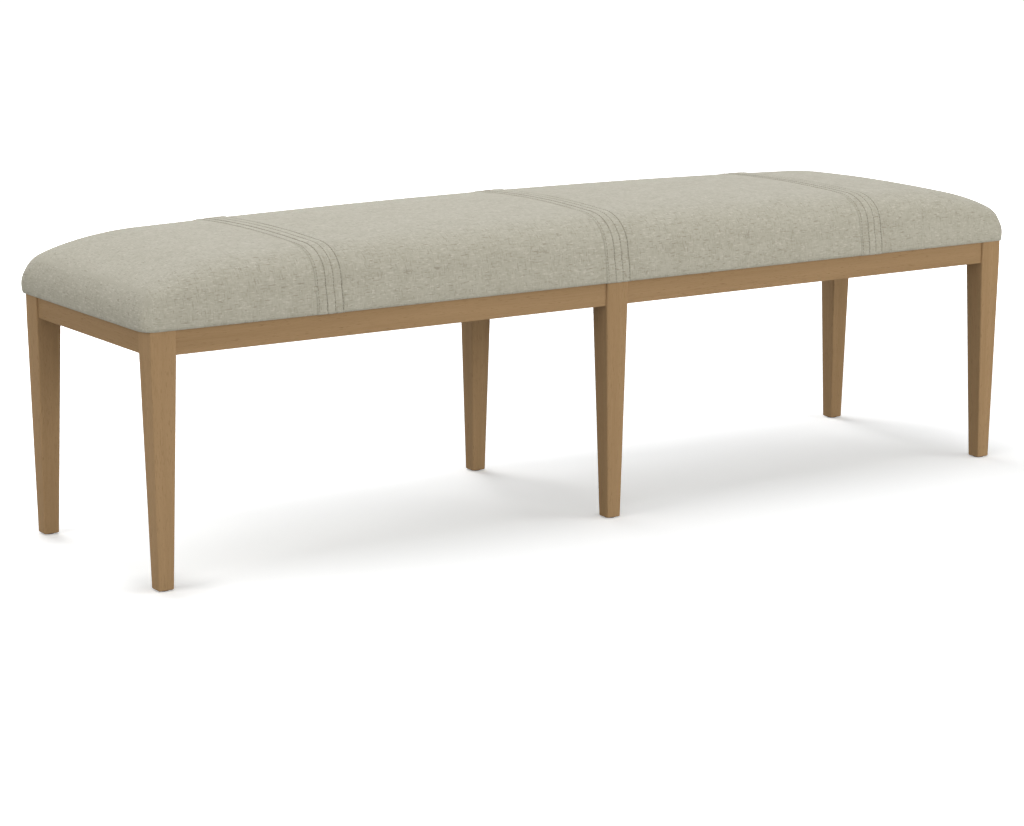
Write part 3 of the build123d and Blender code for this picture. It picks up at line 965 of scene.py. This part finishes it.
@dataclass
class SeamBands:
    """Three raised bands across the seat, each sewn down with rows of stitches."""

    shape: CushionShape
    finishes: Finishes
    band_step: float = 0.485
    row_pitch: float = 0.0124
    rows: int = 4
    puffs: tuple[float, ...] = (0.0002, 0.0008, 0.0009)
    ground: float = 0.0004
    fold: float = 0.0007
    dents: tuple[float, ...] = (0.0, 0.00045, 0.00028, 0.00060)
    dent_width: float = 0.0013
    ease: float = 0.0040
    margin: float = 0.0021
    sunk: float = 0.0004
    along_pitch: float = 0.0030
    stitch: float = 0.0036
    stitch_gap: float = 0.0012
    thread: float = 0.00036
    stitch_bow: float = 0.0002
    lead: float = 0.004
    columns: int = 61

    def offsets(self) -> np.ndarray:
        """Give the places of the rows of stitches across a band."""
        return (np.arange(self.rows) - (self.rows - 1) / 2) * self.row_pitch

    def lift(self, s: np.ndarray, t: np.ndarray) -> np.ndarray:
        """Give the height of a band over the cover.

        Args:
            s: distances across the band from its middle.
            t: distances along the band.

        Returns:
            Heights, one row for each distance along.
        """
        offsets = self.offsets()
        edge = offsets[-1]
        phase = np.abs(np.sin(np.pi * (s - edge) / self.row_pitch))
        rib = np.clip(((s + edge) / self.row_pitch).astype(int), 0, self.rows - 2)
        puff = np.where(np.abs(s) <= edge + 1e-9, np.array(self.puffs)[rib], 0.0)
        body = self.ground + puff * phase ** 0.5
        tuck = np.clip((s - edge) / self.margin, 0.0, 0.75)
        body = body + self.fold * np.sin(np.pi * tuck / 1.5) * (s > edge)
        wave = 0.7 + 0.3 * np.cos(2 * np.pi * t / (self.stitch + self.stitch_gap))
        loose = 1.0 + 0.10 * np.sin(41.0 * t) * np.cos(23.0 * t)
        height = body[None, :] * loose[:, None]
        for offset, dent in zip(offsets, self.dents):
            near = np.exp(-((s - offset) / self.dent_width) ** 2)
            height = height - dent * near[None, :] * wave[:, None]
        return height

    def surface(self, s: np.ndarray, middle: float, lifts: np.ndarray, across: np.ndarray) -> np.ndarray:
        """Put a band's points over the seat.

        Args:
            s: distances across the band.
            middle: place of the band along the bench.
            lifts: heights over the cover, along by across.
            across: rows of y and share along the band.

        Returns:
            Grid of points, along by across by 3.
        """
        half = self.shape.half_profile(self.shape.half_length, self.shape.end)
        x = middle + s
        along = np.stack([x, np.interp(np.abs(x), half[:, 0], half[:, 1])], -1)
        grid = self.shape.place(along, across)
        lifted = grid + self.shape.normals(grid) * lifts.T[:, :, None]
        return np.transpose(lifted, (1, 0, 2))[:, ::-1]

    def build(self) -> None:
        """Make the bands and their stitches."""
        half = self.shape.half_profile(self.shape.half_depth, self.shape.side)
        across = self.shape.mirrored(self.shape.spaced(half, self.along_pitch))
        steps = np.diff(across * np.array([1.0, self.shape.height]), axis=0)
        t = np.concatenate([[0.0], np.cumsum(np.hypot(steps[:, 0], steps[:, 1]))])
        edge = self.offsets()[-1]
        s = np.concatenate([[-edge - self.ease], np.linspace(-edge, edge, self.columns),
                            edge + self.margin * np.array([0.4, 0.75, 1.0])])
        for name, step in (("left", -1), ("middle", 0), ("right", 1)):
            middle = step * self.band_step
            lifts = self.lift(s, t)
            lifts[:, 0] = 0.0
            outer = self.surface(s, middle, lifts, across)
            inner = self.surface(s, middle, np.full_like(lifts, -self.sunk), across)
            points, faces = closed_slab(outer, inner)
            band = new_piece("seam_band_" + name + "_cloth", points, faces, self.finishes.made["tweed"])
            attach(band, BODY)
            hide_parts("seam_band_" + name)
            self.stitches(name, middle, across, t)
            LOG.info("%s: %.0f mm wide, %.0f mm round the seat", band.name, 2000 * s[-1], 1000 * t[-1])

    def stitches(self, name: str, middle: float, across: np.ndarray, t: np.ndarray) -> None:
        """Sew the rows of one band.

        Args:
            name: name of the band.
            middle: place of the band along the bench.
            across: rows of y and share along the band.
            t: distances along the band.
        """
        pitch = self.stitch + self.stitch_gap
        count = int((t[-1] - 2 * self.lead) // pitch)
        ring = np.linspace(0, 2 * np.pi, 7)[:-1]
        probe = 0.4 * MM
        widths = (0.45, 1.0, 1.0, 0.45)
        points: list[np.ndarray] = []
        faces: list[tuple[int, ...]] = []
        for offset in self.offsets():
            starts = self.lead + pitch * np.arange(count)
            places = np.stack([starts + self.stitch * share for share in (0.0, 0.2, 0.8, 1.0)], -1)
            flat = places.ravel()
            line = np.stack([np.interp(flat, t, across[:, 0]), np.interp(flat, t, across[:, 1])], -1)
            spread = np.array([offset - probe, offset, offset + probe])
            bow = self.stitch_bow * np.tile([-1.0, 1.0, 1.0, -1.0], count)
            lifts = np.repeat((self.ground + bow)[:, None], 3, 1)
            rows = self.surface(spread, middle, lifts, line)
            core, side = rows[:, 1], rows[:, 0] - rows[:, 2]
            side = side / np.linalg.norm(side, axis=1, keepdims=True)
            ahead = np.gradient(core.reshape(count, 4, 3), axis=1).reshape(-1, 3)
            ahead = ahead / np.linalg.norm(ahead, axis=1, keepdims=True)
            up = np.cross(ahead, side)
            for k in range(count):
                base = len(points)
                for m in range(4):
                    i = 4 * k + m
                    for angle in ring:
                        reach = self.thread * widths[m]
                        turn = math.cos(angle) * side[i] + math.sin(angle) * up[i]
                        points.append(core[i] + reach * turn)
                for m in range(3):
                    for q in range(6):
                        a, b = base + 6 * m + q, base + 6 * m + (q + 1) % 6
                        faces.append((a, b, b + 6, a + 6))
                faces.append(tuple(base + q for q in range(5, -1, -1)))
                faces.append(tuple(base + 18 + q for q in range(6)))
        made = new_piece("seam_stitches_" + name, np.array(points), faces,
                         self.finishes.made["seam_thread"])
        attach(made, BODY)
        LOG.info("%s: %d stitches in %d rows", made.name, count * self.rows, self.rows)


@dataclass
class SeatPad:
    """Foam and fibre wrap under the cover, as one crowned pad."""

    finishes: Finishes
    shape: CushionShape = field(default_factory=lambda: CushionShape(
        half_length=0.7550,
        half_depth=0.1965,
        base=0.3750,
        height=0.0795,
        side=EdgeForm(wall=0.020, lean=0.003, bulge=0.0005, roll=0.069, fullness=2.28, crown=0.0043),
        end=EdgeForm(wall=0.025, lean=0.005, bulge=0.0015, roll=0.162, fullness=1.70, crown=0.0109),
    ))
    pitch: float = 0.014
    least: float = 0.0005

    def build(self) -> None:
        """Make the pad as a closed form that stands on the seat board."""
        shape = self.shape
        along = shape.mirrored(shape.spaced(shape.half_profile(shape.half_length, shape.end), self.pitch))
        across = shape.mirrored(shape.spaced(shape.half_profile(shape.half_depth, shape.side), self.pitch))
        top = shape.place(along, across)
        top[:, :, 2] += self.least
        bottom = top.copy()
        bottom[:, :, 2] = shape.base
        points, faces = closed_slab(top, bottom)
        pad = new_piece("seat_pad", points, faces, self.finishes.made["fibre_wrap"])
        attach(pad, BODY)
        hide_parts("seat_foam", "fibre_wrap")
        LOG.info("%s: %.0f mm thick in the middle", pad.name, 1000 * shape.height)


@dataclass
class DustCloth:
    """Thin cloth that closes the underside of the seat."""

    finishes: Finishes
    thick: float = 0.0005
    sag: float = 0.0012
    pitch: float = 0.012
    stapled: float = 0.012
    edge_ease: float = 0.05
    rail_half: float = 0.02
    rail_ease: float = 0.06

    def build(self) -> None:
        """Make the cloth, a little slack between its staples and under the cross rail's line."""
        low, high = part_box("dust_cover")
        width, depth = high[0] - low[0], high[1] - low[1]
        nx, ny = int(width / self.pitch), int(depth / self.pitch)
        x, y = np.meshgrid(
            np.linspace(low[0], high[0], nx), np.linspace(low[1], high[1], ny), indexing="ij")
        inset = np.minimum(np.minimum(x - low[0], high[0] - x), np.minimum(y - low[1], high[1] - y))
        slack = np.clip((inset - self.stapled) / self.edge_ease, 0.0, 1.0)
        slack = slack * np.clip((np.abs(x) - self.rail_half) / self.rail_ease, 0.0, 1.0)
        ripple = 0.6 + 0.25 * np.sin(31.0 * x + 3.0 * y) + 0.15 * np.sin(47.0 * y - 11.0 * x)
        z = low[2] - self.sag * slack * ripple
        under = np.stack([x, y, z], -1)
        over = under + np.array([0.0, 0.0, self.thick])
        points, faces = closed_slab(over, under)
        cloth = new_piece("dust_cloth_under", points, faces, self.finishes.made["dust_cloth"])
        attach(cloth, BODY)
        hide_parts("dust_cover")
        LOG.info("%s: %.0f by %.0f mm", cloth.name, 1000 * width, 1000 * depth)


@dataclass
class BenchFrame:
    """Wooden frame, fasteners and glides, which keep their CAD shapes."""

    finishes: Finishes
    table: dict[str, str] = field(default_factory=lambda: {
        "leg_": "oak_z",
        "leg_glides": "glide_nylon",
        "rail_front": "oak_x",
        "rail_back": "oak_x",
        "rail_end": "oak_y",
        "cross_rail": "beech_y",
        "corner_block": "beech_x",
        "dowels_long": "beech_x",
        "dowels_": "beech_y",
        "seat_panel": "beech_x",
        "block_screws": "zinc_steel",
        "seat_screws": "zinc_steel",
        "cover_staples": "zinc_steel",
    })

    def dress(self) -> None:
        """Give each rigid CAD node its finish; the longest matching name wins."""
        for name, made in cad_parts.items():
            keys = [key for key in self.table if name.startswith(key)]
            if not keys:
                continue
            material = self.finishes.made[self.table[max(keys, key=len)]]
            made.data.materials.clear()
            made.data.materials.append(material)
            LOG.info("%s: %s", name, material.name)


@dataclass
class Studio:
    """White floor, soft lights and the camera."""

    azimuth: float = -33.4408
    elevation: float = 11.9458
    distance: float = 4.32754
    shift_right: float = -0.043604
    shift_up: float = 0.123127
    lens: float = 98.005
    floor_size: float = 160.0
    floor_bounce: float = 0.45
    floor_shown: RGB = (0.955, 0.970, 1.0)
    floor_glow: float = 0.275
    # Floor glow rises away from this point. This gives a white far floor, plus painted light that lifts the
    # shadow off the floor at the bench's left end.
    painted_light_centre: tuple[float, float, float] = (0.45, 0.0, 0.0)
    painted_light_near: float = 0.75
    painted_light_far: float = 2.0
    # Painted shadow: the floor's glow is dimmed round these feet, darkening the floor there.
    painted_shadow_feet: tuple[str, ...] = ("leg_front_left", "leg_back_left")
    painted_shadow_share: float = 0.58
    painted_shadow_near: float = 0.02
    painted_shadow_far: float = 0.11
    sky: float = 0.07
    lamp_spread: float = 0.58
    aim: tuple[float, float, float] = (0.0, 0.0, 0.3)
    warm_below: float = 30.0
    warm: RGB = (1.0, 0.985, 0.92)

    def build(self) -> None:
        """Set up the stage."""
        bpy.context.scene.view_settings.view_transform = "Standard"
        self.floor()
        self.world()
        for lamp in Lamp:
            self.lamp(lamp)
        self.camera()

    def shown_rays(self, n: Nodes) -> bpy.types.NodeSocket:
        """Mark the rays that show the background: the camera's, gloss and glass.

        Args:
            n: node helper of the material or world.

        Returns:
            1 for such a ray and 0 for others.
        """
        path = n.add("LightPath")
        seen = n.math("MAXIMUM", path.outputs["Is Camera Ray"], path.outputs["Is Glossy Ray"])
        return n.math("MAXIMUM", seen, path.outputs["Is Transmission Ray"])

    def floor(self) -> None:
        """Lay a pale floor that keeps a soft shadow; painted light lifts that shadow at the bench's left
        end, and painted shadow darkens the floor round the two left feet.
        """
        half = self.floor_size / 2
        points = np.array([(-half, -half, 0), (half, -half, 0), (half, half, 0), (-half, half, 0)])
        made = bpy.data.materials.new("white_floor")
        made.use_nodes = True
        n = Nodes(made.node_tree)
        made.node_tree.nodes.clear()
        out = n.add("OutputMaterial")
        bounce = n.add("BsdfDiffuse")
        bounce.inputs["Color"].default_value = (*(self.floor_bounce,) * 3, 1.0)
        shade = n.add("BsdfDiffuse")
        shade.inputs["Color"].default_value = (*self.floor_shown, 1.0)
        glow = n.add("Emission")
        at = n.add("TexCoord").outputs["Object"]
        # Painted light: the glow grows with distance from a point right of the middle, washing out the
        # shadow at the bench's left end.
        away = n.distance(at, self.painted_light_centre)
        strength = n.span(away, self.painted_light_near, self.painted_light_far, self.floor_glow, 1.0)
        # Painted shadow round the two left feet: the glow is dimmed near each foot.
        for leg in self.painted_shadow_feet:
            beside = n.distance(at, self.foot(leg))
            painted_shadow = n.span(beside, self.painted_shadow_near, self.painted_shadow_far, self.painted_shadow_share, 1.0)
            strength = n.math("MULTIPLY", strength, painted_shadow)
        seen = n.add("LightPath").outputs["Is Camera Ray"]
        n.plug(glow.inputs["Strength"], n.math("MULTIPLY", strength, seen))
        both = n.add("AddShader")
        n.plug(both.inputs[0], shade.outputs[0])
        n.plug(both.inputs[1], glow.outputs[0])
        pick = n.add("MixShader")
        n.plug(pick.inputs[0], self.shown_rays(n))
        n.plug(pick.inputs[1], bounce.outputs[0])
        n.plug(pick.inputs[2], both.outputs[0])
        n.plug(out.inputs["Surface"], pick.outputs[0])
        new_piece("floor", points, [(0, 1, 2, 3)], made, False)

    def foot(self, leg: str) -> tuple[float, float, float]:
        """Find the place on the floor under a leg's foot.

        Args:
            leg: name of the leg's CAD node.

        Returns:
            The middle of the foot, on the floor.
        """
        points = [vertex.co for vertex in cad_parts[leg].data.vertices]
        lowest = min(point.z for point in points)
        under = [point for point in points if point.z < lowest + 1.0 * MM]
        middle = sum(under, Vector()) / len(under)
        return middle.x, middle.y, 0.0

    def world(self) -> None:
        """Surround the bench with an even white sky."""
        made = bpy.data.worlds.new("white_sky")
        bpy.context.scene.world = made
        made.use_nodes = True
        n = Nodes(made.node_tree)
        back = made.node_tree.nodes["Background"]
        back.inputs["Color"].default_value = (1.0, 1.0, 1.0, 1.0)
        strength = n.math("MULTIPLY_ADD", self.shown_rays(n), 1.0 - self.sky, self.sky)
        n.plug(back.inputs["Strength"], strength)

    def lamp(self, lamp: Lamp) -> None:
        """Hang a square soft lamp that looks at the bench; a share of 1 fully lights a facing surface.

        Args:
            lamp: which of the lamps.
        """
        azimuth, elevation, distance, share = lamp.value
        a, e = math.radians(azimuth), math.radians(elevation)
        toward = Vector((math.sin(a) * math.cos(e), -math.cos(a) * math.cos(e), math.sin(e)))
        data = bpy.data.lights.new(lamp.name.lower(), "AREA")
        data.size = self.lamp_spread * distance
        data.color = self.warm if elevation < self.warm_below else (1.0, 1.0, 1.0)
        data.energy = share * (math.pi * distance) ** 2
        made = bpy.data.objects.new(lamp.name.lower() + "_lamp", data)
        made.location = toward * distance + Vector(self.aim)
        made.rotation_mode = "QUATERNION"
        made.rotation_quaternion = (-toward).to_track_quat("-Z", "Y")
        made.visible_camera = False
        bpy.context.scene.collection.objects.link(made)

    def camera(self) -> None:
        """Stand the camera where the photograph was taken from."""
        a, e = math.radians(self.azimuth), math.radians(self.elevation)
        back = Vector((math.sin(a) * math.cos(e), -math.cos(a) * math.cos(e), math.sin(e)))
        right = Vector((math.cos(a), math.sin(a), 0.0))
        up = back.cross(right)
        data = bpy.data.cameras.new("camera")
        data.lens = self.lens
        data.sensor_width = 36.0
        data.clip_end = 400.0
        made = bpy.data.objects.new("camera", data)
        made.location = right * self.shift_right + up * self.shift_up + back * self.distance
        made.rotation_mode = "QUATERNION"
        made.rotation_quaternion = (-back).to_track_quat("-Z", "Y")
        bpy.context.scene.collection.objects.link(made)
        bpy.context.scene.camera = made


def main() -> None:
    """Build the bench and its stage."""
    logging.basicConfig(level=logging.INFO, format="%(name)s: %(message)s")
    finishes = Finishes()
    finishes.build()
    shape = CushionShape()
    BenchFrame(finishes).dress()
    SeatPad(finishes).build()
    SeatCover(shape, finishes).build()
    SeamBands(shape, finishes).build()
    DustCloth(finishes).build()
    Studio().build()


if __name__ == "__main__":
    main()
